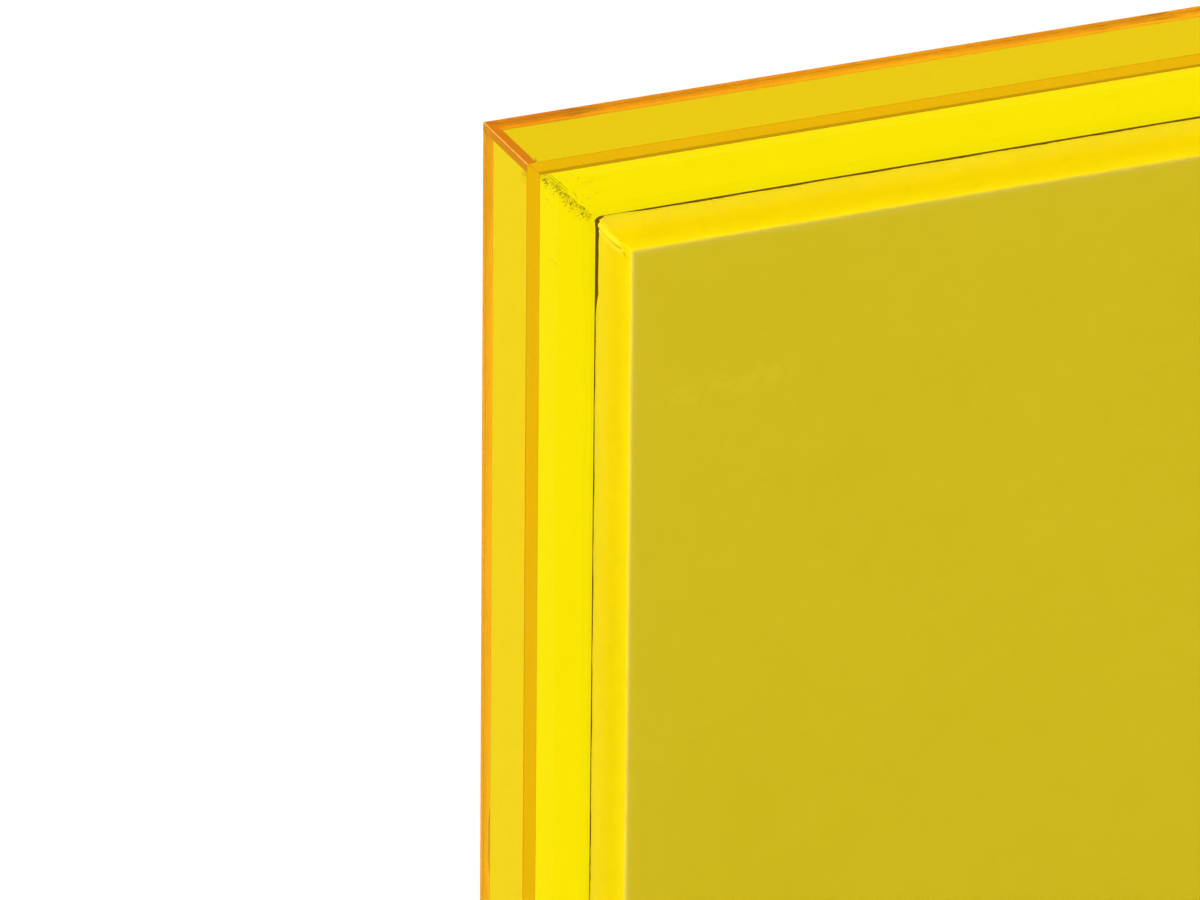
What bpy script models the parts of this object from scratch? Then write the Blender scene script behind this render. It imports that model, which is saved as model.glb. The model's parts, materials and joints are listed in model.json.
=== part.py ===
"""A stretched canvas in a clear tinted tray frame, modelled as its separate pieces.

Five clear sheets make a shallow tray that is open at the front: four walls, mitred at the corners,
round a back panel. A cloth is stretched over four wooden bars, whose mitred ends lock with tongues and
slots and are spread by corner keys. Screws pass through the panel into the bars. Two strap hangers with
swinging rings, and four bumpers, sit on the back.

The tray's bottom edge lies on Z = 0 with its middle at the origin. Its width runs along X, its height
along Z, and its open front faces -Y. Lengths are in metres.
"""
import math

import bmesh
import bpy
from mathutils import Matrix

# ---- Driving dimensions -------------------------------------------------------------------------
CANVAS_WIDTH = 0.400
CANVAS_HEIGHT = 0.500
SHEET = 0.006               # thickness of each tray sheet
TRAY_DEPTH = 0.0465         # from the walls' front edges to the panel's back
REVEAL = 0.0417             # clear gap between a wall and the canvas
RECESS = 0.001              # the canvas front lies this far behind the walls' front edges
GAP = 0.0003                # between pieces that touch
CLOTH = 0.0005              # thickness of the painted cloth
CLOTH_RETURN = 0.028        # width of cloth turned over onto the bars' backs
CLOTH_CORNER = 0.0012       # radius where the cloth turns over the bars

# ---- Stretcher bars and keys --------------------------------------------------------------------
BAR_WIDTH = 0.040
BEAD_CHAMFER = 0.001        # the bead is the raised outer lip that alone touches the cloth's front
BEAD_WIDTH = 0.005
BEAD_FOOT = 0.009
BEAD_HEIGHT = 0.0026
BAR_FALL = 0.0036           # how far the bar's front has dropped at its inner side
TONGUE_THICKNESS = 0.005
FRONT_LAYER = 0.012         # depth into the bar of the tongues on the top and bottom bars
BACK_LAYER = 0.021          # and of the tongues on the side bars
TONGUE_ROOT = 0.060         # where a tongue begins, from the bar's end
TONGUE_TIP = 0.004          # where it stops, from the bar's end
TONGUE_OUTER = 0.008        # its outer edge, from the bar's outer side
TONGUE_INNER = 0.0395       # its inner edge
KEY_TIP = 0.014             # the key's thin end, from the bar's outer side
KEY_HEAD = 0.054            # its thick end, which stands out of the bar
KEY_THIN = 0.0016
KEY_THICK = 0.0096
KEY_CLEARANCE = 0.0004      # between a key and the next bar's inner side
SLOT_REACH = 0.064          # the slots run out past the bar's inner side to here

# ---- Screws, washers, hangers and bumpers -------------------------------------------------------
FIXING_SHANK = 0.0020       # radii
FIXING_HEAD = 0.0040
FIXING_LENGTH = 0.028       # under the head
HANGER_SHANK = 0.00165
HANGER_HEAD = 0.0032
HANGER_LENGTH = 0.019
TIP_LENGTH = 0.004
HEAD_HEIGHT = 0.62          # of a screw head, as a part of its radius
HEAD_DOME = ((0.55, 0.92), (0.88, 0.62), (1.0, 0.2))   # parts of its radius and of its height
SCREW_STEPS = 16            # sides of a turned screw, and of the hole drilled for it
TURNED_STEPS = 20           # sides of a turned washer or bumper
HOLE_DEPTH = 0.045          # how far a drilled hole runs
HOLE_START = 0.009          # how far behind the panel it begins
WASHER_RADIUS = 0.0062
WASHER_THICKNESS = 0.001
HEAD_BAR_SPACING = 0.240    # between the two fixing screws of the top bar, and of the bottom bar
STRAP_THICKNESS = 0.0012
STRAP_WIDTH = 0.012
STRAP_LENGTH = 0.036        # from the ring's pivot down to the strap's end
STRAP_SCREWS = (0.0105, 0.0285)
LOOP_STEPS = 8              # straight lengths in the strap's half turn round the ring
NECK = ((0.86, 0.0014), (0.0003, 0.0044), (0.0, 0.0056))   # where the strap closes below the ring
RING_WIRE = 0.00125         # radius
RING_PLAY = 0.00025         # between the ring's wire and the strap's loop
RING_HALF_WIDTH = 0.012
RING_DROP = 0.0195
RING_SHOULDER = 0.0010      # the ring's shoulders drop by this much below its straight leg
RING_LEG = 0.8              # the straight leg, as a part of the ring's width
RING_SQUARENESS = (0.75, 0.8)   # below 1 is squarer than an oval: across, then down
LEG_STEPS = 4
BOW_STEPS = 20
RING_LEAN = math.radians(5.0)
HANGER_RISE = 0.150         # the ring's pivot above the canvas centre
BUMPER_RADIUS = 0.0060
BUMPER_FLAT = 0.0042
BUMPER_HEIGHT = 0.0065
BUMPER_ROUND = (0.0011, 0.0007)   # its front edge is broken by this much outwards and back
BUMPER_FOOT = 0.0006        # height of its straight foot
BUMPER_INSET = 0.020        # from the canvas's sides to a bumper's middle

# ---- Worked out from them -----------------------------------------------------------------------
TRAY_WIDTH = CANVAS_WIDTH + 2 * (REVEAL + SHEET)
TRAY_HEIGHT = CANVAS_HEIGHT + 2 * (REVEAL + SHEET)
CENTRE_Z = TRAY_HEIGHT / 2
FRONT_Y = -TRAY_DEPTH / 2
BACK_Y = TRAY_DEPTH / 2
FLOOR_Y = BACK_Y - SHEET
CLOTH_FRONT_Y = FRONT_Y + RECESS
CLOTH_BACK_Y = FLOOR_Y - GAP
BAR_FRONT_Y = CLOTH_FRONT_Y + CLOTH + GAP
BAR_BACK_Y = CLOTH_BACK_Y - CLOTH - GAP
BAR_HALF_WIDTH = CANVAS_WIDTH / 2 - CLOTH - GAP
BAR_HALF_HEIGHT = CANVAS_HEIGHT / 2 - CLOTH - GAP
MITRE_GAP = GAP / math.sqrt(2)
SIDE_X = BAR_HALF_WIDTH - BAR_WIDTH / 2
HANGER_Z = CENTRE_Z + HANGER_RISE
STRAP_Y = BACK_Y + GAP + STRAP_THICKNESS / 2
LOOP_RADIUS = RING_WIRE + RING_PLAY + STRAP_THICKNESS / 2
PIVOT_Y = STRAP_Y + LOOP_RADIUS

# Each side of the frame is drawn as the top one and turned about Y: its name, its turn, what its +X and
# -X ends are called, half its bar's length, and how far its bar's outer side is from the middle.
SIDES = (
    ("top", 0, ("right", "left"), BAR_HALF_WIDTH, BAR_HALF_HEIGHT),
    ("right", 90, ("bottom", "top"), BAR_HALF_HEIGHT, BAR_HALF_WIDTH),
    ("bottom", 180, ("left", "right"), BAR_HALF_WIDTH, BAR_HALF_HEIGHT),
    ("left", 270, ("top", "bottom"), BAR_HALF_HEIGHT, BAR_HALF_WIDTH),
)

# Turns that stand a flat outline up: its thickness along Y, or its thickness along X.
ALONG_Y = Matrix.Rotation(math.pi / 2, 4, "X")
ALONG_X = Matrix(((0, 0, 1, 0), (1, 0, 0, 0), (0, 1, 0, 0), (0, 0, 0, 1)))


def clear_scene():
    for item in list(bpy.data.objects):
        bpy.data.objects.remove(item, do_unlink=True)


def new_collection(name):
    collection = bpy.data.collections.new(name)
    bpy.context.scene.collection.children.link(collection)
    return collection


def new_material(name, colour, roughness, metallic=0.0):
    material = bpy.data.materials.new(name)
    material.use_nodes = True
    shader = material.node_tree.nodes["Principled BSDF"]
    shader.inputs["Base Color"].default_value = (*colour, 1.0)
    shader.inputs["Roughness"].default_value = roughness
    shader.inputs["Metallic"].default_value = metallic
    return material


clear_scene()
PARTS = new_collection("tray_framed_canvas")
CUTTERS = new_collection("cutters")

TINTED_SHEET = new_material("tinted_sheet", (0.86, 0.68, 0.01), 0.05)
PAINTED_CLOTH = new_material("painted_cloth", (0.83, 0.66, 0.02), 0.8)
PINE = new_material("pine", (0.78, 0.60, 0.38), 0.7)
BEECH = new_material("beech", (0.70, 0.50, 0.32), 0.6)
ZINC = new_material("zinc_plate", (0.72, 0.73, 0.74), 0.35, 1.0)
NICKEL = new_material("nickel_plate", (0.78, 0.76, 0.72), 0.25, 1.0)
NYLON = new_material("nylon", (0.90, 0.89, 0.85), 0.5)
RUBBER = new_material("clear_rubber", (0.75, 0.75, 0.72), 0.6)


def place(name, mesh, material, location=(0, 0, 0), turn_y=0.0):
    """Put a finished mesh in the model as one named piece."""
    piece = bpy.data.objects.new(name, mesh)
    piece.location = location
    piece.rotation_euler = (0, math.radians(turn_y), 0)
    mesh.materials.append(material)
    PARTS.objects.link(piece)
    return piece


def place_cutter(name, mesh, location=(0, 0, 0), parent=None):
    cutter = bpy.data.objects.new(name, mesh)
    cutter.location = location
    cutter.parent = parent
    cutter.hide_render = True
    cutter.display_type = "WIRE"
    CUTTERS.objects.link(cutter)
    return cutter


def apply_boolean(piece, tool, operation):
    """Cut a tool out of a piece, or join it on, and keep the step on the piece's stack."""
    step = piece.modifiers.new(tool.name, "BOOLEAN")
    step.operation = operation
    step.object = tool
    step.solver = "EXACT"


def box_mesh(name, low, high):
    shape = bmesh.new()
    bmesh.ops.create_cube(shape, size=1.0)
    size = [b - a for a, b in zip(low, high)]
    middle = [(a + b) / 2 for a, b in zip(low, high)]
    bmesh.ops.scale(shape, vec=size, verts=shape.verts)
    bmesh.ops.translate(shape, vec=middle, verts=shape.verts)
    mesh = bpy.data.meshes.new(name)
    shape.to_mesh(mesh)
    shape.free()
    return mesh


def outline_mesh(name, points, thickness, turn):
    """A flat outline, given a thickness and stood up by a turn, as a closed mesh."""
    curve = bpy.data.curves.new(name, "CURVE")
    curve.dimensions = "2D"
    curve.fill_mode = "BOTH"
    curve.extrude = thickness / 2
    spline = curve.splines.new("POLY")
    spline.points.add(len(points) - 1)
    for point, (across, up) in zip(spline.points, points):
        point.co = (across, up, 0, 1)
    spline.use_cyclic_u = True
    return mesh_from_curve(name, curve, turn)


def mesh_from_curve(name, curve, turn):
    guide = bpy.data.objects.new(name, curve)
    bpy.context.scene.collection.objects.link(guide)
    seen = guide.evaluated_get(bpy.context.evaluated_depsgraph_get())
    mesh = bpy.data.meshes.new_from_object(seen)
    bpy.data.objects.remove(guide, do_unlink=True)
    shape = bmesh.new()
    shape.from_mesh(mesh)
    bmesh.ops.remove_doubles(shape, verts=shape.verts, dist=1e-6)
    bmesh.ops.recalc_face_normals(shape, faces=shape.faces)
    shape.transform(turn)
    shape.to_mesh(mesh)
    shape.free()
    mesh.shade_flat()
    mesh.name = name
    return mesh


def turned_piece(name, profile, steps, material, location):
    """A profile turned about the piece's own Y axis; its points are (radius, distance behind)."""
    mesh = bpy.data.meshes.new(name)
    points = [(radius, 0, behind) for radius, behind in profile]
    edges = [(i, i + 1) for i in range(len(points) - 1)]
    if profile[0][0] > 0:
        edges.append((len(points) - 1, 0))
    mesh.from_pydata(points, edges, [])
    piece = place(name, mesh, material, location)
    piece.rotation_euler = (-math.pi / 2, 0, 0)
    turning = piece.modifiers.new("turned", "SCREW")
    turning.steps = steps
    turning.render_steps = steps
    turning.use_merge_vertices = True
    turning.merge_threshold = 0.00001
    turning.use_smooth_shade = True
    return piece


def make_walls():
    """Four wall sheets whose ends are cut at 45 degrees, from the outer face inwards."""
    for name, turn, _, _, _ in SIDES:
        along, across = (TRAY_WIDTH, TRAY_HEIGHT) if turn % 180 == 0 else (TRAY_HEIGHT, TRAY_WIDTH)
        outer = along / 2 - MITRE_GAP
        inner = outer - SHEET
        top = across / 2
        outline = [(-outer, top), (-inner, top - SHEET), (inner, top - SHEET), (outer, top)]
        mesh = outline_mesh(name + "_wall", outline, TRAY_DEPTH, ALONG_Y)
        place(name + "_wall", mesh, TINTED_SHEET, (0, 0, CENTRE_Z), turn)


def make_back_panel():
    half_width = TRAY_WIDTH / 2 - SHEET - GAP
    half_height = TRAY_HEIGHT / 2 - SHEET - GAP
    low = (-half_width, FLOOR_Y, -half_height)
    high = (half_width, BACK_Y, half_height)
    return place("back_panel", box_mesh("back_panel", low, high), TINTED_SHEET, (0, 0, CENTRE_Z))


def bar_profile(outer):
    """The bar's section: a raised bead at the outer edge, then a front that falls away inwards."""
    section = [
        (0, BEAD_CHAMFER),
        (BEAD_CHAMFER, 0),
        (BEAD_WIDTH, 0),
        (BEAD_FOOT, BEAD_HEIGHT),
        (BAR_WIDTH, BAR_FALL),
        (BAR_WIDTH, BAR_BACK_Y - BAR_FRONT_Y),
        (0, BAR_BACK_Y - BAR_FRONT_Y),
    ]
    return [(BAR_FRONT_Y + depth, outer - inward) for inward, depth in section]


def mitre_ends(mesh, half_length, outer):
    """Shorten each end of a bar by its distance from the outer side, which cuts it at 45 degrees."""
    for point in mesh.vertices:
        reach = half_length - MITRE_GAP - (outer - point.co.z)
        point.co.x = math.copysign(reach, point.co.x)


def key_outline(half_length, outer, way, spare):
    """A key beside the next bar's inner side, thick end inwards; spare grows it into its slot."""
    side = half_length - BAR_WIDTH - KEY_CLEARANCE + spare
    taper = (KEY_THICK - KEY_THIN) / (KEY_HEAD - KEY_TIP)
    start = KEY_TIP - spare
    end = SLOT_REACH if spare else KEY_HEAD
    thin = KEY_THIN + taper * (start - KEY_TIP) + 2 * spare
    thick = KEY_THIN + taper * (end - KEY_TIP) + 2 * spare
    corners = [(side, start), (side - thin, start), (side - thick, end), (side, end)]
    return [(way * along, outer - inward) for along, inward in corners]


def make_bar(name, turn, ends, half_length, outer):
    """One stretcher bar with a tongue and a slot at each end, and the two keys in its slots."""
    mesh = outline_mesh(name + "_bar", bar_profile(outer), 2 * half_length, ALONG_X)
    mitre_ends(mesh, half_length, outer)
    bar = place(name + "_bar", mesh, PINE, (0, 0, CENTRE_Z), turn)
    layers = [BAR_FRONT_Y + FRONT_LAYER, BAR_FRONT_Y + BACK_LAYER]
    tongue_y, slot_y = layers if turn % 180 == 0 else reversed(layers)
    for way, end in zip((1, -1), ends):
        label = name + "_" + end
        along = sorted(way * (half_length - reach) for reach in (TONGUE_ROOT, TONGUE_TIP))
        low = (along[0], tongue_y, outer - TONGUE_INNER)
        high = (along[1], tongue_y + TONGUE_THICKNESS, outer - TONGUE_OUTER)
        tongue = place_cutter("tongue_" + label, box_mesh("tongue", low, high), parent=bar)
        apply_boolean(bar, tongue, "UNION")
        along = sorted(way * (half_length - reach) for reach in (TONGUE_INNER + GAP, TONGUE_OUTER - GAP))
        low = (along[0], slot_y - GAP, outer - SLOT_REACH)
        high = (along[1], slot_y + TONGUE_THICKNESS + GAP, outer - TONGUE_TIP + GAP)
        slot = place_cutter("slot_" + label, box_mesh("slot", low, high), parent=bar)
        apply_boolean(bar, slot, "DIFFERENCE")
        middle_y = slot_y + TONGUE_THICKNESS / 2
        outline = key_outline(half_length, outer, way, GAP)
        mesh = outline_mesh("key_slot", outline, TONGUE_THICKNESS + 2 * GAP, ALONG_Y)
        key_slot = place_cutter("key_slot_" + label, mesh, (0, middle_y, 0), bar)
        apply_boolean(bar, key_slot, "DIFFERENCE")
        outline = key_outline(half_length, outer, way, 0.0)
        mesh = outline_mesh("key", outline, TONGUE_THICKNESS, ALONG_Y)
        place("key_%s_bar_%s" % (name, end), mesh, BEECH, (0, middle_y, CENTRE_Z), turn)
    return bar


def make_cloth():
    """The stretched cloth: front, four sides and the edge turned over onto the bars' backs."""
    half_width = CANVAS_WIDTH / 2
    half_height = CANVAS_HEIGHT / 2
    low = (-half_width, CLOTH_FRONT_Y, -half_height)
    high = (half_width, CLOTH_BACK_Y, half_height)
    cloth = place("canvas_cloth", box_mesh("canvas_cloth", low, high), PAINTED_CLOTH, (0, 0, CENTRE_Z))
    rounding = cloth.modifiers.new("rounding", "BEVEL")
    rounding.width = CLOTH_CORNER
    rounding.segments = 3
    low = (CLOTH - half_width, CLOTH_FRONT_Y + CLOTH, CLOTH - half_height)
    high = (half_width - CLOTH, CLOTH_BACK_Y - CLOTH, half_height - CLOTH)
    inside = place_cutter("cloth_inside", box_mesh("cloth_inside", low, high), (0, 0, CENTRE_Z))
    apply_boolean(cloth, inside, "DIFFERENCE")
    low = (CLOTH_RETURN - half_width, 0, CLOTH_RETURN - half_height)
    high = (half_width - CLOTH_RETURN, BACK_Y, half_height - CLOTH_RETURN)
    opening = place_cutter("cloth_opening", box_mesh("cloth_opening", low, high), (0, 0, CENTRE_Z))
    apply_boolean(cloth, opening, "DIFFERENCE")
    return cloth


def make_screw(name, spot, head_y, shank, head, length, material):
    """A pan-head wood screw, its head behind head_y and its point forwards."""
    height = HEAD_HEIGHT * head
    profile = [
        (0, height),
        *((across * head, up * height) for across, up in HEAD_DOME),
        (head, 0),
        (shank, 0),
        (shank, TIP_LENGTH - length),
        (0, -length),
    ]
    turned_piece(name, profile, SCREW_STEPS, material, (spot[0], head_y, spot[1]))


def drill(name, spot, radius, pieces):
    """A round hole along Y from the bars' middle out through the panel."""
    shape = bmesh.new()
    bmesh.ops.create_cone(
        shape, cap_ends=True, segments=SCREW_STEPS, radius1=radius, radius2=radius, depth=HOLE_DEPTH
    )
    shape.transform(Matrix.Rotation(math.pi / 2, 4, "X"))
    mesh = bpy.data.meshes.new(name)
    shape.to_mesh(mesh)
    shape.free()
    hole = place_cutter(name, mesh, (spot[0], BACK_Y + HOLE_START - HOLE_DEPTH / 2, spot[1]))
    for piece in pieces:
        apply_boolean(piece, hole, "DIFFERENCE")


def make_fixings(panel, cloth, bars):
    """Six screws with washers, through the panel and the turned-over cloth into the bars."""
    across = HEAD_BAR_SPACING / 2
    up = BAR_HALF_HEIGHT - BAR_WIDTH / 2
    spots = [
        ("top", (-across, CENTRE_Z + up)),
        ("top", (across, CENTRE_Z + up)),
        ("right", (SIDE_X, CENTRE_Z)),
        ("bottom", (across, CENTRE_Z - up)),
        ("bottom", (-across, CENTRE_Z - up)),
        ("left", (-SIDE_X, CENTRE_Z)),
    ]
    ring = [
        (WASHER_RADIUS, WASHER_THICKNESS),
        (WASHER_RADIUS, 0),
        (FIXING_SHANK + GAP, 0),
        (FIXING_SHANK + GAP, WASHER_THICKNESS),
    ]
    washer_y = BACK_Y + GAP
    head_y = washer_y + WASHER_THICKNESS + GAP
    for number, (side, spot) in enumerate(spots, 1):
        drill("fixing_hole_%d" % number, spot, FIXING_SHANK + GAP, (panel, cloth, bars[side]))
        turned_piece("fixing_washer_%d" % number, ring, TURNED_STEPS, NYLON, (spot[0], washer_y, spot[1]))
        name = "fixing_screw_%d" % number
        make_screw(name, spot, head_y, FIXING_SHANK, FIXING_HEAD, FIXING_LENGTH, ZINC)


def strap_path():
    """The strap's middle line from the side, as (behind, up) from the ring's pivot.

    It runs up the panel's back, half way round the ring's wire, and down over itself.
    """
    second_layer = STRAP_THICKNESS + GAP - LOOP_RADIUS
    path = [(-LOOP_RADIUS, -STRAP_LENGTH), (-LOOP_RADIUS, -STRAP_LENGTH / 2)]
    for step in range(LOOP_STEPS + 1):
        angle = math.pi - math.pi * step / LOOP_STEPS
        path.append((LOOP_RADIUS * math.cos(angle), LOOP_RADIUS * math.sin(angle)))
    (turn_in, below), (proud, nearly), (closed, down) = NECK
    path.append((LOOP_RADIUS * turn_in, -below))
    path.append((second_layer + proud, -nearly))
    path.append((second_layer + closed, -down))
    path.append((second_layer, -STRAP_LENGTH))
    return path


def make_strap(name, x, panel, cloth, bar):
    """A strip folded round the ring's wire, drilled for two screws."""
    path = strap_path()
    half = STRAP_WIDTH / 2
    points = [(side, behind, up) for behind, up in path for side in (-half, half)]
    faces = [(2 * i, 2 * i + 1, 2 * i + 3, 2 * i + 2) for i in range(len(path) - 1)]
    mesh = bpy.data.meshes.new(name)
    mesh.from_pydata(points, [], faces)
    strap = place(name, mesh, NICKEL, (x, PIVOT_Y, HANGER_Z))
    wall = strap.modifiers.new("thickness", "SOLIDIFY")
    wall.thickness = STRAP_THICKNESS
    wall.offset = 0.0
    wall.use_even_offset = True
    head_y = STRAP_Y + 1.5 * STRAP_THICKNESS + 2 * GAP
    for level, drop in zip(("upper", "lower"), STRAP_SCREWS):
        spot = (x, HANGER_Z - drop)
        label = name.replace("strap", level)
        drill(label + "_hole", spot, HANGER_SHANK + GAP, (panel, cloth, bar, strap))
        screw = name.replace("strap", "screw") + "_" + level
        make_screw(screw, spot, head_y, HANGER_SHANK, HANGER_HEAD, HANGER_LENGTH, NICKEL)


def ring_points():
    """The ring's wire as a closed D in the hanging plane: a straight leg and a half oval below it."""
    points = []
    for step in range(LEG_STEPS + 1):
        points.append((RING_HALF_WIDTH * (2 * step / LEG_STEPS - 1) * RING_LEG, 0.0))
    for step in range(BOW_STEPS + 1):
        angle = math.pi * step / BOW_STEPS
        reach = abs(math.cos(angle)) ** RING_SQUARENESS[0]
        across = RING_HALF_WIDTH * math.copysign(reach, math.cos(angle))
        bow = math.sin(angle) ** RING_SQUARENESS[1]
        points.append((across, -RING_DROP * bow - RING_SHOULDER * (1 - math.sin(angle))))
    return points


def make_ring(name, x):
    """A wire ring whose straight leg turns in the strap's loop; it leans back on its strap."""
    curve = bpy.data.curves.new(name, "CURVE")
    curve.dimensions = "3D"
    curve.bevel_depth = RING_WIRE
    curve.bevel_resolution = 2
    points = ring_points()
    spline = curve.splines.new("POLY")
    spline.points.add(len(points) - 1)
    for point, (across, up) in zip(spline.points, points):
        point.co = (across, -up * math.sin(RING_LEAN), up * math.cos(RING_LEAN), 1)
    spline.use_cyclic_u = True
    ring = bpy.data.objects.new(name, curve)
    ring.location = (x, PIVOT_Y, HANGER_Z)
    curve.materials.append(NICKEL)
    PARTS.objects.link(ring)


def make_bumpers():
    profile = [
        (0, BUMPER_HEIGHT),
        (BUMPER_FLAT, BUMPER_HEIGHT),
        (BUMPER_FLAT + BUMPER_ROUND[0], BUMPER_HEIGHT - BUMPER_ROUND[1]),
        (BUMPER_RADIUS, BUMPER_FOOT),
        (BUMPER_RADIUS, 0),
        (0, 0),
    ]
    x = CANVAS_WIDTH / 2 - BUMPER_INSET
    up = CANVAS_HEIGHT / 2 - BUMPER_INSET
    for side, across in (("left", -x), ("right", x)):
        for level, rise in (("top", up), ("bottom", -up)):
            spot = (across, BACK_Y + GAP, CENTRE_Z + rise)
            turned_piece("bumper_%s_%s" % (level, side), profile, TURNED_STEPS, RUBBER, spot)


def main():
    make_walls()
    panel = make_back_panel()
    bars = {side[0]: make_bar(*side) for side in SIDES}
    cloth = make_cloth()
    make_fixings(panel, cloth, bars)
    for side, x in (("left", -SIDE_X), ("right", SIDE_X)):
        make_strap("hanger_strap_" + side, x, panel, cloth, bars[side])
        make_ring("hanger_ring_" + side, x)
    make_bumpers()


main()
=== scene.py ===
"""The tray-framed canvas: a painted cloth stretched over pine bars, inside a clear yellow tray.

Every piece is worked out as a surface in the frame's own metres: X across, Z up, the open front
facing -Y, and the tray's bottom edge on Z = 0.
"""
import json
import math
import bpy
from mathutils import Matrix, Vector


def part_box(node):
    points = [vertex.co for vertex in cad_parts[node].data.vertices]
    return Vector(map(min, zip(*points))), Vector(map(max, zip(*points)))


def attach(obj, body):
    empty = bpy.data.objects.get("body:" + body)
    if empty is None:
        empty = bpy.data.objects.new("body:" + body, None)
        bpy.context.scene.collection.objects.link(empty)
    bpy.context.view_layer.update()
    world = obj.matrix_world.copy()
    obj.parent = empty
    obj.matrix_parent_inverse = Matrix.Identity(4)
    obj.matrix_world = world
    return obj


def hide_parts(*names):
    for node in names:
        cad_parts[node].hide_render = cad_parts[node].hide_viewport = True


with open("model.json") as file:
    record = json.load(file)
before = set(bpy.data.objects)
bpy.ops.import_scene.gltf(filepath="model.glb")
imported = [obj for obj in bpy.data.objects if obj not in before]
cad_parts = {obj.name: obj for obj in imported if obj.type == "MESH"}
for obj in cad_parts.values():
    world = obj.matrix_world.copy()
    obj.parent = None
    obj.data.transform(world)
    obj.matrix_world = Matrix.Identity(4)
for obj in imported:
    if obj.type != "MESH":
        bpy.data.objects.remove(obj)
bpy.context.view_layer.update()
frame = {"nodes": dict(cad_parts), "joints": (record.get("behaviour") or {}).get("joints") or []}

from types import SimpleNamespace

import bmesh
import bpy
import numpy as np
from mathutils import Matrix, Vector

MM = 0.001

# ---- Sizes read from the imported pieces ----
TOP_LOW, TOP_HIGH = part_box("top_wall")
LEFT_LOW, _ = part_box("left_wall")
PANEL_LOW, PANEL_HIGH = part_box("back_panel")
CLOTH_LOW, CLOTH_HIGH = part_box("canvas_cloth")
FRONT_Y = TOP_LOW.y
BACK_Y = TOP_HIGH.y
FLOOR_Y = PANEL_LOW.y
SHEET = PANEL_HIGH.y - PANEL_LOW.y
CENTRE_Z = (CLOTH_LOW.z + CLOTH_HIGH.z) / 2
TRAY_HALF_X = -LEFT_LOW.x
TRAY_HALF_Z = TOP_HIGH.z - CENTRE_Z
CANVAS_HALF_X = CLOTH_HIGH.x
CANVAS_HALF_Z = CLOTH_HIGH.z - CENTRE_Z
CANVAS_DEPTH = CLOTH_HIGH.y - CLOTH_LOW.y
CLOTH_THICKNESS = 0.5 * MM

# ---- Sizes of the finish ----
EDGE_BREAK = 0.15 * MM          # the polished sheets' outer edges are broken by this much
INNER_BREAK = 0.05 * MM         # and their inner edges by this much
CORNER_BREAK = 0.09 * MM        # the glued corner's edge is broken by this much
FILM = 0.004 * MM               # a film of cement between two sheets
WEAVE = 0.55 * MM               # from one thread of the cloth to the next
CLOTH_EDGE = 1.3 * MM           # radius where the cloth turns
CORNER_FRONT = 0.8 * MM         # radius of the canvas's corner, seen from the front, at its front
CORNER_BACK = 2.4 * MM          # and at its back, where the folded cloth is thick


# ==== Meshes ====
def grid_faces(rows, columns, wrap_rows=False, wrap_columns=False):
    """Four-sided faces of a grid of points numbered row by row; a wrapped way joins end to start."""
    row = np.arange(rows if wrap_rows else rows - 1)
    column = np.arange(columns if wrap_columns else columns - 1)
    a, b = np.meshgrid(row, column, indexing="ij")
    a_next = (a + 1) % rows
    b_next = (b + 1) % columns
    corners = [a * columns + b, a * columns + b_next, a_next * columns + b_next, a_next * columns + b]
    return np.stack(corners, -1).reshape(-1, 4)


def in_scene(name, data):
    """A new object in the scene, at the origin."""
    made = bpy.data.objects.new(name, data)
    bpy.context.scene.collection.objects.link(made)
    return made


def add_piece(name, points, faces, finishes, body="root", smooth=True, weld=True):
    """A new piece whose place is in its mesh; welded pieces have doubles merged and face outwards."""
    mesh = bpy.data.meshes.new(name)
    mesh.from_pydata(np.asarray(points, float).tolist(), [], [list(map(int, f)) for f in faces])
    if weld:
        shape = bmesh.new()
        shape.from_mesh(mesh)
        bmesh.ops.remove_doubles(shape, verts=shape.verts, dist=1e-7)
        bmesh.ops.dissolve_degenerate(shape, edges=shape.edges, dist=1e-8)
        bmesh.ops.recalc_face_normals(shape, faces=shape.faces)
        shape.to_mesh(mesh)
        shape.free()
    mesh.polygons.foreach_set("use_smooth", np.full(len(mesh.polygons), smooth))
    for finish in finishes:
        mesh.materials.append(finish.material)
    piece = in_scene(name, mesh)
    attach(piece, body)
    return piece


def merged_copy(node, finishes):
    """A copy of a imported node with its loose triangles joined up, standing in for the node."""
    mesh = frame["nodes"][node].data.copy()
    mesh.name = node + "_shape"
    shape = bmesh.new()
    shape.from_mesh(mesh)
    bmesh.ops.remove_doubles(shape, verts=shape.verts, dist=1e-6)
    bmesh.ops.dissolve_limit(
        shape, angle_limit=math.radians(0.5), verts=shape.verts, edges=shape.edges
    )
    shape.to_mesh(mesh)
    shape.free()
    mesh.materials.clear()
    for finish in finishes:
        mesh.materials.append(finish.material)
    mesh.polygons.foreach_set("material_index", np.zeros(len(mesh.polygons), np.int32))
    piece = in_scene(node + "_shape", mesh)
    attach(piece, "root")
    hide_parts(node)
    return piece


def smoothstep(low, high, x):
    """0 below low, 1 above high, and an S between them."""
    t = np.clip((x - low) / (high - low), 0, 1)
    return t * t * (3 - 2 * t)


def xyz(x, y, z):
    """Points from their three places, each an array or one number for all."""
    return np.stack(np.broadcast_arrays(x, y, z), -1)


def spun(a, b, angle):
    """Two ways square to each other, both turned by an angle from the first towards the second."""
    return a * np.cos(angle) - b * np.sin(angle), a * np.sin(angle) + b * np.cos(angle)


def rings(radius, y, angle):
    """Circles about Y: one for each row of radius and y."""
    return xyz(radius * np.cos(angle), y, radius * np.sin(angle))


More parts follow.
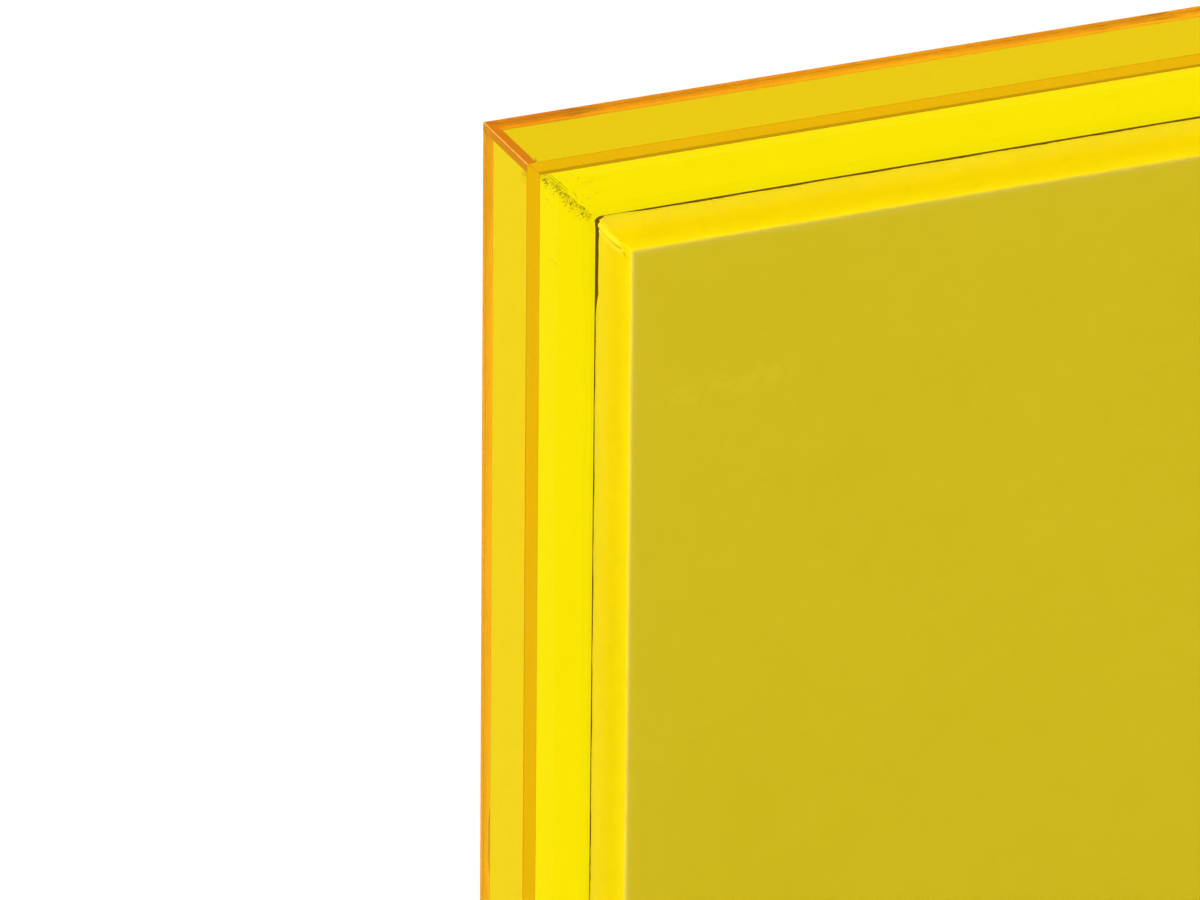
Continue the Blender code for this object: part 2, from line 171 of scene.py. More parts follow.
def turned(name, profile, centre, finishes, columns):
    """A profile of (radius, behind) turned about the line along Y through centre."""
    angle = np.linspace(0, 2 * np.pi, columns, endpoint=False)
    radius, behind = np.array(profile).T[..., None]
    points = (rings(radius, behind, angle) + np.array(centre)).reshape(-1, 3)
    return add_piece(name, points, grid_faces(len(profile), columns, False, True), finishes)


def tube(path, radius, columns, closed=False):
    """Points and faces of a round tube: each path point carries a circle in the plane square to the
    path there, turned as little as possible from the last one."""
    path = np.asarray(path, float)
    if closed:
        along = np.roll(path, -1, 0) - np.roll(path, 1, 0)
    else:
        along = np.gradient(path, axis=0)
    along /= np.linalg.norm(along, axis=1)[:, None]
    start = np.cross(along[0], [0.31, 0.22, 0.92])
    side = start - along * (along @ start)[:, None]
    side /= np.linalg.norm(side, axis=1)[:, None]
    other = np.cross(along, side)
    angle = np.linspace(0, 2 * np.pi, columns, endpoint=False)[None, :, None]
    radius = np.broadcast_to(np.asarray(radius, float), len(path))[:, None, None]
    ring = path[:, None] + radius * (np.cos(angle) * side[:, None] + np.sin(angle) * other[:, None])
    faces = grid_faces(len(path), columns, closed, True).tolist()
    if not closed:
        faces.append(list(range(columns))[::-1])
        last = (len(path) - 1) * columns
        faces.append(list(range(last, last + columns)))
    return ring.reshape(-1, 3), faces


def joined(parts):
    """Several (points, faces) as one."""
    points, faces, count = [], [], 0
    for part_points, part_faces in parts:
        points.append(np.asarray(part_points))
        faces += [[int(i) + count for i in face] for face in part_faces]
        count += len(part_points)
    return np.concatenate(points), faces


# ==== Finishes ====
class Signal:
    """One output of a node. Sums and products written with it add the Math nodes they need."""

    def __init__(self, finish, socket):
        self.finish = finish
        self.socket = socket

    def math(self, operation, *terms, clamp=False):
        settings = {"operation": operation, "use_clamp": clamp}
        return self.finish.node("ShaderNodeMath", settings, dict(enumerate(terms)))

    def __add__(self, other):
        return self.math("ADD", self, other)

    def __radd__(self, other):
        return self.math("ADD", other, self)

    def __sub__(self, other):
        return self.math("SUBTRACT", self, other)

    def __rsub__(self, other):
        return self.math("SUBTRACT", other, self)

    def __mul__(self, other):
        return self.math("MULTIPLY", self, other)

    def __rmul__(self, other):
        return self.math("MULTIPLY", other, self)

    def __pow__(self, other):
        return self.math("POWER", self, other)

    def __abs__(self):
        return self.math("ABSOLUTE", self)

    def sin(self):
        return self.math("SINE", self)

    def clamped(self):
        return self.math("ADD", self, 0.0, clamp=True)

    def above(self, low, high):
        """0 below low, 1 above high, smooth between."""
        settings = {"interpolation_type": "SMOOTHSTEP", "clamp": True}
        sockets = {0: self, 1: low, 2: high, 3: 0.0, 4: 1.0}
        return self.finish.node("ShaderNodeMapRange", settings, sockets)


class Nodes:
    """The node tree of a material or of the studio's light, emptied and given its output."""

    def __init__(self, owner, output):
        owner.use_nodes = True
        self.tree = owner.node_tree
        self.tree.nodes.clear()
        self.output = self.tree.nodes.new(output)

    def node(self, kind, settings=None, sockets=None, output=0):
        """A node of a kind, its settings made first, then the values or links of its sockets."""
        made = self.tree.nodes.new(kind)
        for key, value in (settings or {}).items():
            setattr(made, key, value)
        for key, value in (sockets or {}).items():
            if isinstance(value, Signal):
                self.tree.links.new(value.socket, made.inputs[key])
            else:
                made.inputs[key].default_value = value
        return Signal(self, made.outputs[output])

    def axis(self, vector, output):
        """One axis of a vector: 0 for X, 1 for Y, 2 for Z."""
        return self.node("ShaderNodeSeparateXYZ", None, {0: vector}, output)

    def surface(self, shader):
        self.tree.links.new(shader.socket, self.output.inputs["Surface"])
        return self

    def volume(self, shader):
        self.tree.links.new(shader.socket, self.output.inputs["Volume"])
        return self


class Finish(Nodes):
    """A material under construction."""

    def __init__(self, name):
        self.material = bpy.data.materials.new(name)
        super().__init__(self.material, "ShaderNodeOutputMaterial")

    def place(self, scale=(1, 1, 1), turn=(0, 0, 0), centre=(0, 0, 0)):
        """Object coordinates, moved so that centre is 0, then scaled and turned."""
        here = self.node("ShaderNodeTexCoord", output="Object")
        moved = self.node(
            "ShaderNodeVectorMath", {"operation": "SUBTRACT"}, {0: here, 1: centre}
        )
        sockets = {"Vector": moved, "Rotation": turn, "Scale": scale}
        return self.node("ShaderNodeMapping", None, sockets)

    def noise(self, vector, scale, detail=2.0, roughness=0.5):
        """Cloudy noise from 0 to 1, finer for a greater scale."""
        sockets = {"Vector": vector, "Scale": scale, "Detail": detail, "Roughness": roughness}
        return self.node("ShaderNodeTexNoise", None, sockets)

    def attribute(self, name):
        """A value that the mesh carries at its points."""
        return self.node("ShaderNodeAttribute", {"attribute_name": name}, output="Fac")

    def mix(self, factor, a, b):
        """Colour a where factor is 0 and colour b where it is 1."""
        a, b = (x if isinstance(x, Signal) else (*x, 1.0) for x in (a, b))
        sockets = {0: factor, 6: a, 7: b}
        return self.node("ShaderNodeMix", {"data_type": "RGBA"}, sockets, output=2)

    def coated(self, colour, *coats):
        """A colour with others laid over it in turn, each given as (how thickly, its colour)."""
        for factor, coat in coats:
            colour = self.mix(factor, colour, coat)
        return colour

    def bump(self, height, distance, strength):
        """A normal tilted by height, which stands for up to distance in metres."""
        sockets = {"Height": height, "Distance": distance, "Strength": strength}
        return self.node("ShaderNodeBump", None, sockets)

    def principled(self, sockets):
        """Ends the finish in the general surface; a plain colour is given its fourth value."""
        colour = sockets.get("Base Color")
        if isinstance(colour, tuple):
            sockets = {**sockets, "Base Color": (*colour, 1.0)}
        return self.surface(self.node("ShaderNodeBsdfPrincipled", None, sockets))


SHEET_TINT = (0.948, 0.884, 0.08)
SHEET_ABSORPTION = (0.9996, 0.9912, 0.70)
SHEET_DENSITY = 800.0


def clear_yellow_sheet():
    """Cast clear sheet: glass tinted at its faces, with a body colour that deepens over its length."""
    f = Finish("clear_yellow_sheet")
    swell = f.noise(f.place(), 38.0, 1.0)
    sockets = {
        "Color": (*SHEET_TINT, 1.0),
        "Roughness": 0.0,
        "IOR": 1.49,
        "Normal": f.bump(swell, 0.00002, 0.35),
    }
    f.surface(f.node("ShaderNodeBsdfGlass", None, sockets))
    body = {"Color": (*SHEET_ABSORPTION, 1.0), "Density": SHEET_DENSITY}
    return f.volume(f.node("ShaderNodeVolumeAbsorption", None, body))


REDDENED = (62 * MM, 30 * MM)      # this far from a corner the cement starts to redden, and is reddest
PAINTED_LEDGE_LIGHT = (0.9 * MM, 0.5 * MM)    # this far behind the walls' front the painted ledge light ends, and is full


def joint_cement_and_edge_tint():
    """The cement in the joints: a deep orange, painted for the deeper tint of light that runs edge-on
    through the sheets, and glowing with painted light of its own; redder in the corners, with soft
    streaks along it and brown voids where it missed."""
    f = Finish("joint_cement_and_edge_tint")
    here = f.place(centre=(0, 0, CENTRE_Z))
    streak = f.noise(f.place(scale=(16, 160, 16)), 1.0, 2.0, 0.5)
    patch = f.noise(f.place(scale=(11, 60, 11)), 1.0, 2.0, 0.55)
    missed = f.noise(f.place(scale=(17, 90, 17), centre=(0.016, 0, 0.031)), 1.0, 2.0, 0.5)
    void = missed.above(0.63, 0.70)

    def in_corner(far, near):
        """1 within near of the outer faces both ways, and 0 past far from either."""
        across = abs(f.axis(here, 0)).above(TRAY_HALF_X - far, TRAY_HALF_X - near)
        return across * abs(f.axis(here, 2)).above(TRAY_HALF_Z - far, TRAY_HALF_Z - near)

    corner = in_corner(1.5 * SHEET, SHEET)
    red = (patch.above(0.42, 0.66) * 0.45 + in_corner(*REDDENED) * 0.7 + corner * 0.65).clamped()
    pale = f.mix(streak.above(0.35, 0.7), (0.95, 0.46, 0.03), (0.93, 0.40, 0.03))
    forward = 0.0 - f.axis(f.place(centre=(0, FRONT_Y, 0)), 1)
    # painted light: the cement's front is painted pale and glowing, to match the lit front edges of the
    # walls
    painted_ledge_light = forward.above(-PAINTED_LEDGE_LIGHT[0], -PAINTED_LEDGE_LIGHT[1])
    colours = (red, (0.88, 0.23, 0.03)), (void * 0.8, (0.40, 0.10, 0.01)), (painted_ledge_light, (0.95, 0.62, 0.01))
    # painted light: the cement gives out light of its own, orange, redder in the corners and pale at the
    # front
    painted_glows = (red, (0.08, 0.012, 0.0)), (painted_ledge_light, (0.24, 0.20, 0.0)), (void, (0.02, 0.0, 0.0))
    sockets = {
        "Base Color": f.coated(pale, *colours),
        "Roughness": 0.45,
        "Emission Color": f.coated((0.22, 0.050, 0.0), *painted_glows),
        "Emission Strength": 1.0,
        "Normal": f.bump(streak, 0.00005, 0.5),
    }
    return f.principled(sockets)


PAINTED_GLINT_END = (3 * MM, 2 * MM)    # the painted highlight's bright end: its depth, and how softly it starts


def painted_corner_highlight():
    """The corner's broken edge, where the cement is flush: a painted highlight, pale and glowing and
    brightest near the front, stands in for the light it catches.
    """
    f = Finish("painted_corner_highlight")
    painted_glint = f.noise(f.place(), 240.0, 2.0).above(0.45, 0.62)
    forward = 0.0 - f.axis(f.place(centre=(0, FRONT_Y + PAINTED_GLINT_END[0], 0)), 1)
    painted_glint = (painted_glint * 0.55 + forward.above(0.0, PAINTED_GLINT_END[1])).clamped()
    sockets = {
        "Base Color": f.mix(painted_glint, (0.60, 0.22, 0.02), (0.75, 0.42, 0.08)),
        "Roughness": 0.4,
        "Emission Color": f.mix(painted_glint, (0.08, 0.02, 0.0), (0.14, 0.08, 0.01)),
        "Emission Strength": 1.0,
    }
    return f.principled(sockets)


def weave_height(f):
    """Plain weave from the cloth's own map: each crossing stands up or down like a chequer, and slubs
    widen a thread now and then."""
    threads = f.node("ShaderNodeUVMap", {"uv_map": "threads"})
    slub = f.noise(threads, 160.0, 2.0) - 0.5
    turn = math.pi / WEAVE
    across = (f.axis(threads, 0) * turn + slub * 1.6).sin()
    along = (f.axis(threads, 1) * turn + slub * 1.6).sin()
    return across * along * 0.5 + 0.5


RUBBED_SPOT = (44 * MM - CANVAS_HALF_X, 0, CENTRE_Z + CANVAS_HALF_Z - 68 * MM)
RUBBED_LONG, RUBBED_HIGH = 0.040, 0.008     # metres from its middle to its ends
RUBBED_SLOPE = 0.35


def painted_canvas():
    """Yellow paint over a woven cloth, worn paler along the edges, rubbed in one spot, with a painted
    shadow where it meets the tray, painted highlights and painted shade on the folded corners and in the
    weave's hollows, and its sides painted lighter than the front and glowing, as painted light. Past the
    edge of the paint the cloth is bare."""
    f = Finish("painted_canvas")
    here = f.place()
    weave = weave_height(f)
    cloud = f.noise(here, 9.0, 3.0, 0.55)
    mottle = f.noise(here, 75.0, 4.0, 0.65)
    grain = f.noise(here, 900.0, 2.0, 0.7)
    # worn edges, with part of the flaps' painted highlight added in
    wear_and_highlight = (f.attribute("wear_and_highlight") * (0.15 + 0.9 * grain.above(0.35, 0.7) + 0.6 * weave)).clamped()
    flap, crease, side = f.attribute("flap"), f.attribute("crease"), f.attribute("side")
    rubbed = f.place(scale=(1 / RUBBED_LONG, 0, 1 / RUBBED_HIGH), centre=RUBBED_SPOT)
    reach = f.axis(rubbed, 0) ** 2 + (f.axis(rubbed, 2) - RUBBED_SLOPE * f.axis(rubbed, 0)) ** 2
    rub = (1.0 - reach).above(0.0, 0.7) * f.noise(here, 210.0, 3.0).above(0.35, 0.65)
    behind = f.attribute("behind")
    ragged = f.noise(here, 320.0, 3.0, 0.7) - 0.5
    # painted shadow: a dark line on the cloth's back edge for the shade in the gap under it
    dark = (f.attribute("gap_shadow_line") + ragged * 0.9 - behind).above(-0.12, 0.12)
    bare = (0.0 - behind + ragged * 6.0).above(5.0, 7.5)
    # painted light: the sides near the back and the folded flaps are given light of their own, though no
    # lamp is there
    painted_side_light = side * (1.0 - behind.above(4.0, 24.0)) * behind.above(-1.0, 0.5)
    painted_glow = (painted_side_light * 0.6 + flap * 0.4) * (1.0 - dark) * (1.0 - crease)
    colour = f.coated(
        f.mix(cloud.above(0.3, 0.7), (0.93, 0.73, 0.003), (0.95, 0.745, 0.005)),
        (mottle.above(0.45, 0.8) * 0.35, (0.91, 0.70, 0.002)),
        (f.attribute("rim") * 0.5, (1.0, 0.75, 0.02)),
        # painted light: the sides are painted lighter than the front, for the light that falls on them
        (side, (0.975, 0.86, 0.004)),
        (wear_and_highlight * 0.95, (1.0, 0.84, 0.12)),
        # painted highlight on the folded flaps, palest at the knot
        (flap * 0.9, (1.0, 0.95, 0.10)),
        (flap.above(0.96, 1.0), (1.0, 0.97, 0.55)),
        # painted shade in the crease
        (crease, (0.40, 0.27, 0.0)),
        (rub * 0.7, (0.98, 0.80, 0.01)),
        # painted shade in the weave's hollows
        ((1.0 - weave) * 0.10, (0.55, 0.38, 0.0)),
        (dark * 0.93, (0.105, 0.035, 0.0)),
        # the bare cloth, with painted shade in the weave's hollows
        (bare, f.mix(weave, (0.50, 0.43, 0.31), (0.74, 0.68, 0.54))),
    )
    height = weave * 0.55 + grain * 0.35 + mottle * 0.4
    sockets = {
        "Base Color": colour,
        "Roughness": (0.62 + 0.16 * mottle).clamped(),
        "Specular IOR Level": 0.2,
        "Emission Color": f.mix(painted_glow.clamped(), (0.0, 0.0, 0.0), (0.22, 0.22, 0.02)),
        "Emission Strength": 1.0,
        "Normal": f.bump(height, 0.00012, 0.8),
    }
    return f.principled(sockets)


def raw_canvas():
    """The unpainted back of the cloth, with painted shade in the weave's hollows."""
    f = Finish("raw_canvas")
    weave = weave_height(f)
    fleck = f.noise(f.place(), 700.0, 2.0, 0.6).above(0.66, 0.72)
    # painted shade in the weave's hollows
    colour = f.mix(weave, (0.46, 0.39, 0.28), (0.72, 0.66, 0.53))
    colour = f.mix(fleck * 0.5, colour, (0.22, 0.15, 0.08))
    sockets = {"Base Color": colour, "Roughness": 0.9, "Normal": f.bump(weave, 0.00012, 0.7)}
    return f.principled(sockets)


def wood(name, turn, pale, dark, pitch):
    """Sawn wood: growth rings cut lengthways, closer together for a greater pitch, and pores; turn lays
    its length along X."""
    f = Finish(name)
    lie = f.place(scale=(1.0, 9.0, 9.0), turn=turn)
    wander = f.noise(f.place(scale=(3.0, 22.0, 22.0), turn=turn), 1.0, 3.0)
    sweep = f.axis(lie, 1) * pitch + wander * 7.0
    ring = (sweep.sin() * 0.5 + 0.5) ** 1.7
    pore = f.noise(f.place(scale=(45.0, 1500.0, 1500.0), turn=turn), 1.0, 2.0).above(0.55, 0.72)
    colour = f.mix(ring, pale, dark)
    colour = f.mix(pore * 0.4, colour, tuple(0.5 * c for c in dark))
    sockets = {
        "Base Color": colour,
        "Roughness": (0.55 + 0.2 * pore).clamped(),
        "Normal": f.bump(ring * 0.4 - pore * 0.6, 0.0001, 0.5),
    }
    return f.principled(sockets)


def plated_metal(name, colour, worn, roughness):
    """Barrel-plated steel: a soft cloudy gloss, tiny dents, and duller patches where it is handled."""
    f = Finish(name)
    here = f.place()
    cloud = f.noise(here, 260.0, 3.0, 0.6)
    dent = f.noise(here, 1400.0, 2.0, 0.6)
    stain = f.noise(here, 90.0, 3.0, 0.6).above(0.52, 0.75)
    sockets = {
        "Base Color": f.mix(stain * 0.6, colour, worn),
        "Metallic": 1.0,
        "Roughness": (roughness + 0.18 * cloud + 0.15 * stain).clamped(),
        "Normal": f.bump(dent, 0.00003, 0.5),
    }
    return f.principled(sockets)


def moulded(name, colour, shade, roughness, transmission=0.0):
    """Moulded nylon or soft rubber: a fine matt skin, a little cloudy; rubber lets some light through."""
    f = Finish(name)
    skin = f.noise(f.place(), 2200.0, 2.0, 0.6)
    cloud = f.noise(f.place(), 180.0, 2.0)
    sockets = {
        "Base Color": f.mix(cloud.above(0.35, 0.7), colour, shade),
        "Roughness": (roughness + 0.12 * cloud).clamped(),
        "Transmission Weight": transmission,
        "Normal": f.bump(skin, 0.00002, 0.6),
    }
    return f.principled(sockets)


def lint(name, colour, shade):
    """Settled dust and lint."""
    f = Finish(name)
    sockets = {
        "Base Color": f.mix(f.noise(f.place(), 2500.0, 1.0), colour, shade),
        "Roughness": 0.85,
    }
    return f.principled(sockets)


SHEET_FINISH = clear_yellow_sheet()
CEMENT = joint_cement_and_edge_tint()
CORNER_HIGHLIGHT = painted_corner_highlight()
PAINT = painted_canvas()
RAW = raw_canvas()
QUARTER = math.pi / 2
ACROSS, UPRIGHT = (0, 0, 0), (0, QUARTER, 0)
PINE = ((0.80, 0.60, 0.36), (0.58, 0.36, 0.16), 95.0)
BEECH = ((0.68, 0.47, 0.30), (0.55, 0.34, 0.20), 260.0)
PINE_ACROSS = wood("pine_across", ACROSS, *PINE)
PINE_UPRIGHT = wood("pine_upright", UPRIGHT, *PINE)
BEECH_ACROSS = wood("beech_across", ACROSS, *BEECH)
BEECH_UPRIGHT = wood("beech_upright", UPRIGHT, *BEECH)
NICKEL = plated_metal("nickel_plate", (0.74, 0.70, 0.62), (0.46, 0.41, 0.34), 0.14)
ZINC = plated_metal("zinc_plate", (0.66, 0.68, 0.70), (0.42, 0.43, 0.44), 0.22)
STAPLE_WIRE = plated_metal("staple_wire", (0.60, 0.60, 0.60), (0.34, 0.33, 0.31), 0.26)
NYLON = moulded("white_nylon", (0.86, 0.85, 0.80), (0.80, 0.78, 0.72), 0.38)
RUBBER = moulded("soft_rubber", (0.82, 0.82, 0.79), (0.72, 0.72, 0.69), 0.30, 0.45)
DUST = lint("settled_dust", (0.66, 0.53, 0.01), (0.40, 0.28, 0.0))
FIBRE = lint("dark_fibre", (0.08, 0.04, 0.0), (0.16, 0.09, 0.01))


# ==== The tray ====
WALLS = (
    ("top_wall", 0, TRAY_HALF_X, TRAY_HALF_Z),
    ("right_wall", 90, TRAY_HALF_Z, TRAY_HALF_X),
    ("bottom_wall", 180, TRAY_HALF_X, TRAY_HALF_Z),
    ("left_wall", 270, TRAY_HALF_Z, TRAY_HALF_X),
)


def wall_sheet(node, turn, half_length, outer):
    """A mitred wall: a section of points (inward, behind), each carried along the sheet as far as
    half_length - inward, and a little less beside the outer face, which breaks the corner's edge."""
    b, c, i = EDGE_BREAK, CORNER_BREAK, INNER_BREAK
    section = np.array([
        (c, FRONT_Y + b - c),
        (b, FRONT_Y),
        (SHEET - i, FRONT_Y),
        (SHEET, FRONT_Y + i),
        (SHEET, BACK_Y - i),
        (SHEET - i, BACK_Y),
        (b, BACK_Y),
        (c, BACK_Y - b + c),
        (0, BACK_Y - b),
        (0, FRONT_Y + b),
    ])
    inward, behind = section.T
    reach = half_length - FILM - np.maximum(inward, 2 * c - inward)
    count = len(section)
    points = np.concatenate([xyz(way * reach, behind, outer - inward) for way in (-1, 1)])
    faces = grid_faces(2, count, False, True).tolist()
    mitre = list(range(8))
    corner = [9, 0, 7, 8]
    faces += [mitre, corner, [k + count for k in mitre], [k + count for k in corner]]
    x, z = spun(points[:, 0], points[:, 2], -math.radians(turn))
    points = xyz(x, points[:, 1], z + CENTRE_Z)
    wall = add_piece(node + "_sheet", points, faces, (SHEET_FINISH, CEMENT, CORNER_HIGHLIGHT), smooth=False)
    for index, finish in ((count, 1), (count + 2, 1), (count + 1, 2), (count + 3, 2)):
        wall.data.polygons[index].material_index = finish
    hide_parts(node)


def panel_sheet():
    """The back panel with its screw holes; its four edges, which lie against the walls, are cemented."""
    panel = merged_copy("back_panel", (SHEET_FINISH, CEMENT))
    rim_x = PANEL_HIGH.x - FILM
    rim_z = PANEL_HIGH.z - CENTRE_Z - FILM
    for face in panel.data.polygons:
        middle = face.center
        if abs(middle.x) > rim_x or abs(middle.z - CENTRE_Z) > rim_z:
            face.material_index = 1


def cement_bead():
    """The cement pressed between the panel's edges and the walls: a frame as deep as the panel, its
    orange painted like the joints' for the deeper tint of light that runs edge-on through the sheets.
    """
    inner = np.array([PANEL_HIGH.x + FILM, PANEL_HIGH.z - CENTRE_Z + FILM])
    outer = np.array([TRAY_HALF_X, TRAY_HALF_Z]) - SHEET - FILM
    signs = np.array([(-1, -1), (1, -1), (1, 1), (-1, 1)])
    loops = [(inner, FLOOR_Y), (outer, FLOOR_Y), (outer, BACK_Y - FILM), (inner, BACK_Y - FILM)]
    points = np.concatenate([
        xyz(signs[:, 0] * half[0], y, signs[:, 1] * half[1] + CENTRE_Z) for half, y in loops
    ])
    add_piece("panel_cement_bead", points, grid_faces(4, 4, True, True), (CEMENT,), smooth=False)


# ==== The cloth ====
FRONT, TOP, RIGHT, BOTTOM, LEFT = -1, 0, 1, 2, 3     # the parts of the cloth
SET_BACK = 1.0 * MM             # the canvas's front, behind the walls' front edges
SLACK = 0.25 * MM               # how far the front sinks in its middle
RIPPLE = 0.05 * MM              # and how far it then waves to either side
TUCK = 0.35 * MM                # how far the top is drawn in beside a fold
TINY = 1e-12                    # keeps a division from failing


def hump(*offsets):
    """A soft hump: exp of minus the sum of the offsets' squares, so 1 where all of them are 0."""
    return np.exp(-sum(offset ** 2 for offset in offsets))


def graded(half):
    """Places from -half to half: close together near both ends, 6 mm apart in the middle."""
    near = np.array([0, 0.25, 0.5, 0.8, 1.1, 1.5, 1.9, 2.3, 2.7, 3.1, 3.5, 3.9, 4.4, 5, 6, 7.5, 9.5, 12])
    near = near * MM
    even = half - 15.5 * MM
    middle = np.linspace(-even, even, int(round((2 * half - 31 * MM) / (6 * MM))))
    return np.concatenate([near - half, middle, half - near[::-1]])


def fold_height(deep, down):
    """The folded corner's flap on a side: it stands up between the corner and a curved line, which is
    bowed like an arch from the back to three quarters of the way forwards; the line itself is a crease,
    and it ends in a knot with a pucker past it. deep runs from 0 at the back to 1 at the front, down is
    the distance from the corner in mm. Returns the height in metres, how pale the flap and the knot are
    painted as painted highlight, and how dark the crease and the pucker are painted as painted shade."""
    line = 2.0 + 1.9 * np.sin(np.pi * np.clip((deep + 0.03) / 0.90, 0, 1))
    fade = smoothstep(0.78, 0.66, deep) * smoothstep(-0.02, 0.05, deep)
    slope = 0.75 - 0.45 * smoothstep(line - 0.2, 0.0, down)
    flap = smoothstep(line + 0.2, line - 0.2, down) * slope
    crease = hump((down - line - 0.1) / 0.34)
    swell = hump((down - line - 1.5) / 1.0)
    knot = hump((deep - 0.73) / 0.035, (down - 3.4) / 0.65)
    pucker = hump((deep - 0.80) / 0.04, (down - 4.5) / 0.6)
    height = fade * (flap - 0.55 * crease + 0.30 * swell) + 0.55 * knot - 0.30 * pucker
    # painted highlight: the flap's band, the swell past the crease and the knot are painted paler
    band = smoothstep(line - 0.2, line - 1.2, down) * smoothstep(-0.2, 1.2, down)
    pale = np.clip(fade * (0.95 * band + 0.85 * swell), 0, 0.95) + 1.2 * knot
    # painted shade: the crease and the pucker are painted darker
    dark = fade * crease + 0.5 * pucker
    return height * MM, np.clip(pale, 0, 1), np.clip(dark, 0, 1)


def gap_shadow_width(x, z, on_left, on_top):
    """How wide, in mm, the painted shadow is where the cloth meets the tray's floor, a dark line on the
    cloth's back edge for the shade in the gap under it: wide round the top left corner and a little way
    down from it, thin elsewhere, and nearly shut beside the corner on the top."""
    down = (CANVAS_HALF_Z - z) / MM
    right = (x + CANVAS_HALF_X) / MM
    waver = 0.22 * np.sin(down / 9.0 + 1.0) + 0.16 * np.sin(down / 3.7) + 0.2 * np.sin(right / 6.1)
    plain = 2.3 + waver
    left = plain + 2.6 * smoothstep(46, 34, down) * (0.88 + 0.12 * np.sin(down / 2.3))
    top = 1.4 + (1.35 + waver) * smoothstep(11, 24, right) + 1.9 * smoothstep(4.2, 1.8, right)
    return np.where(on_left, left, np.where(on_top, top, plain))


def ring_faces(rim, first, rows):
    """Faces of rows rings of points numbered from first, hung from the rim's own points."""
    index = np.concatenate([rim, first + np.arange(rows * len(rim))])
    return index[grid_faces(rows + 1, len(rim), False, True)]


def cloth_grid():
    """The cloth as a box with no back, before anything is rounded: the front on a grid of (x, z), then
    the sides and the turned-over edge on a grid of (distance over the edge, place round the rim).
    flat_x and flat_z are a front point's own place, and for the rest where its thread crosses the
    front's edge; travel is how far past that edge it is."""
    gx, gz = np.meshgrid(graded(CANVAS_HALF_X), graded(CANVAS_HALF_Z), indexing="ij")
    nx, nz = gx.shape
    number = np.arange(nx * nz).reshape(nx, nz)
    rim = np.concatenate([number[:-1, -1], number[-1, :0:-1], number[:0:-1, 0], number[0, :-1]])
    rim_part = np.repeat([TOP, RIGHT, BOTTOM, LEFT], [nx - 1, nz - 1, nx - 1, nz - 1])
    rim_x, rim_z = gx.ravel()[rim], gz.ravel()[rim]
    over = np.concatenate([
        [0.3, 0.6, 1.0, 1.4, 1.9, 2.6, 3.6],
        np.linspace(4.6, 34.2, 37),
        [35, 36, 36.6, 37.1, 37.6, 38.0, 38.4, 38.8],
        [39.2, 39.6, 40.1, 40.7, 41.5, 43, 45.5, 48.5, 52, 56, 60, 64, 67.2],
    ])[:, None] * MM
    turned_in = np.maximum(over - CANVAS_DEPTH, 0)
    rows = len(over)

    def whole(front, sides):
        return np.concatenate([front.ravel(), sides.ravel()])

    return SimpleNamespace(
        x=whole(gx, (CANVAS_HALF_X - turned_in) / CANVAS_HALF_X * rim_x),
        z=whole(gz, (CANVAS_HALF_Z - turned_in) / CANVAS_HALF_Z * rim_z),
        flat_x=whole(gx, np.tile(rim_x, rows)),
        flat_z=whole(gz, np.tile(rim_z, rows)),
        travel=whole(np.zeros(gx.shape), over + 0 * rim_x),
        part=whole(np.full(gx.shape, FRONT), np.tile(rim_part, rows)),
        faces=np.concatenate([grid_faces(nx, nz)[:, ::-1], ring_faces(rim, nx * nz, rows)]),
        face_part=whole(np.full((nx - 1) * (nz - 1), FRONT), np.tile(rim_part, rows)),
    )


def round_corners(x, z, deep):
    """The square corner, seen from the front, is drawn in to a round one, more at the back than at the
    front. Returns x and z, how far in from the side each point lies, and its way out as (x, z)."""
    radius = CORNER_FRONT + (CORNER_BACK - CORNER_FRONT) * smoothstep(0.1, 1.0, deep / CANVAS_DEPTH)
    core_x, core_z = CANVAS_HALF_X - radius, CANVAS_HALF_Z - radius
    ex, ez = np.abs(x) - core_x, np.abs(z) - core_z
    in_corner = (ex > 0) & (ez > 0)
    ex, ez = np.maximum(ex, TINY), np.maximum(ez, TINY)
    draw = np.where(in_corner, np.maximum(ex, ez) / np.hypot(ex, ez), 1.0)
    x = np.sign(x) * np.where(in_corner, core_x + ex * draw, np.abs(x))
    z = np.sign(z) * np.where(in_corner, core_z + ez * draw, np.abs(z))

    ex, ez = np.abs(x) - core_x, np.abs(z) - core_z
    past_x, past_z = np.maximum(ex, 0), np.maximum(ez, 0)
    length = np.maximum(np.hypot(past_x, past_z), TINY)
    past = (past_x > 0) | (past_z > 0)
    inside = np.where(past, radius - length, radius - np.maximum(ex, ez))
    out_x = np.where(length > 1e-9, past_x / length, (ex > ez) * 1.0) * np.sign(x)
    out_z = np.where(length > 1e-9, past_z / length, (ex <= ez) * 1.0) * np.sign(z)
    return x, z, inside, out_x, out_z


def round_edges(x, z, deep, inside, out_x, out_z):
    """Near the front and near the back, (inside, deep) is drawn on to a quarter round."""
    for at_front in (True, False):
        from_edge = deep if at_front else CANVAS_DEPTH - deep
        a = np.maximum(CLOTH_EDGE - inside, 0)
        b = np.maximum(CLOTH_EDGE - from_edge, 0)
        turning = (a > 0) & (b > 0)
        k = np.where(turning, np.maximum(a, b) / np.maximum(np.hypot(a, b), TINY), 1.0)
        move = np.where(turning, a * (1 - k), 0)
        sink = np.where(turning, b * (1 - k), 0)
        x = x - out_x * move
        z = z - out_z * move
        deep = deep + (sink if at_front else -sink)
    return x, z, deep


